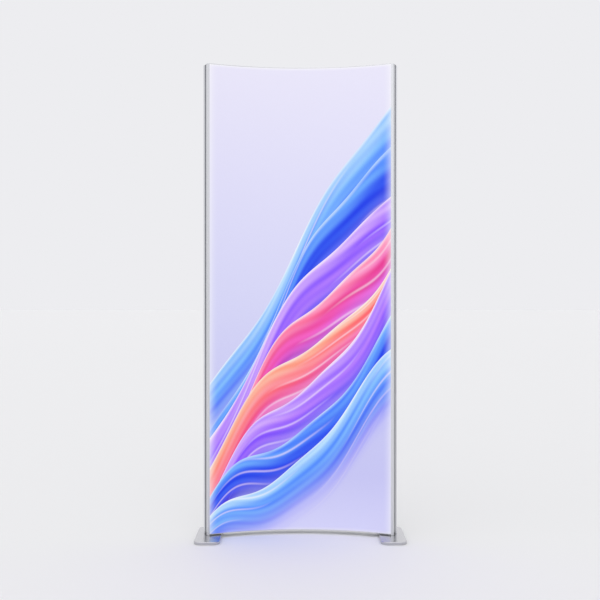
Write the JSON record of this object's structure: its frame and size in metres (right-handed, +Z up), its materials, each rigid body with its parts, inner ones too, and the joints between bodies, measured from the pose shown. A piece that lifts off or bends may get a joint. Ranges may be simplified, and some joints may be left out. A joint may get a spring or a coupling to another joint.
{
  "type": "curved fabric light box display",
  "caption": "Tall free-standing light box bowed in plan: aluminium frame, lit printed fabric face, plain rear fabric and flat swivelling foot plates.",
  "frame": {"origin": "on the floor, midway between the two foot pivots", "axes": "+Z up, +X to the right of someone who looks at the lit face, +Y away from them"},
  "size_m": [0.8868, 0.268, 2.017],
  "materials": {
    "backing_fabric": "plain knitted polyester",
    "black_plastic": "moulded",
    "black_rubber": "moulded rubber",
    "bracket_aluminium": "plain die cast",
    "bright_screw": "zinc plated",
    "circuit_board": "white coated board",
    "dark_screw": "black oxide",
    "emitter": "white light source",
    "frame_aluminium": "satin anodised extrusion",
    "lead_sleeve": "soft PVC",
    "lens_acrylic": "clear acrylic",
    "plate_steel": "fine satin, reflecting softly",
    "printed_fabric": "knitted polyester, printed, lit from inside",
    "silicone": "translucent silicone strip",
    "white_plastic": "moulded nylon"
  },
  "bodies": {
    "frame": {"bottom_light_board_screws": "bright_screw", "bottom_light_boards": "circuit_board", "bottom_light_emitters": "emitter", "bottom_light_jumpers": "lead_sleeve", "bottom_light_lenses": "lens_acrylic", "bottom_light_plugs": "white_plastic", "bottom_rail": "frame_aluminium", "cross_brace": "frame_aluminium", "front_edge_strip": "silicone", "front_fabric": "printed_fabric", "inlet_nut": "bright_screw", "lead_clips": "white_plastic", "lead_grommets": "black_rubber", "left_brace_plate": "frame_aluminium", "left_brace_screws": "bright_screw", "left_end_cap": "frame_aluminium", "left_end_cap_screws": "bright_screw", "left_lock_screw": "dark_screw", "left_lower_bracket": "bracket_aluminium", "left_lower_bracket_screws": "bright_screw", "left_pivot_bolt": "bright_screw", "left_pivot_washer": "bright_screw", "left_upper_bracket": "bracket_aluminium", "left_upper_bracket_screws": "bright_screw", "left_upright": "frame_aluminium", "lower_supply_lead": "lead_sleeve", "power_inlet": "black_plastic", "rear_edge_strip": "silicone", "rear_fabric": "backing_fabric", "right_brace_plate": "frame_aluminium", "right_brace_screws": "bright_screw", "right_end_cap": "frame_aluminium", "right_end_cap_screws": "bright_screw", "right_lock_screw": "dark_screw", "right_lower_bracket": "bracket_aluminium", "right_lower_bracket_screws": "bright_screw", "right_pivot_bolt": "bright_screw", "right_pivot_washer": "bright_screw", "right_upper_bracket": "bracket_aluminium", "right_upper_bracket_screws": "bright_screw", "right_upright": "frame_aluminium", "top_light_board_screws": "bright_screw", "top_light_boards": "circuit_board", "top_light_emitters": "emitter", "top_light_jumpers": "lead_sleeve", "top_light_lenses": "lens_acrylic", "top_light_plugs": "white_plastic", "top_rail": "frame_aluminium", "upper_supply_lead": "lead_sleeve"},
    "left_foot": {"left_foot_pads": "black_rubber", "left_foot_plate": "plate_steel"},
    "right_foot": {"right_foot_pads": "black_rubber", "right_foot_plate": "plate_steel"}
  },
  "joints": [
    {"name": "left_foot_swivel", "type": "hinge", "parent": "frame", "child": "left_foot", "pos_m": [-0.38936, 0, 0.0125], "axis": [0, 0, 1], "range_deg": [-90, 90]},
    {"name": "right_foot_swivel", "type": "hinge", "parent": "frame", "child": "right_foot", "pos_m": [0.38936, 0, 0.0125], "axis": [0, 0, 1], "range_deg": [-90, 90]}
  ]
}
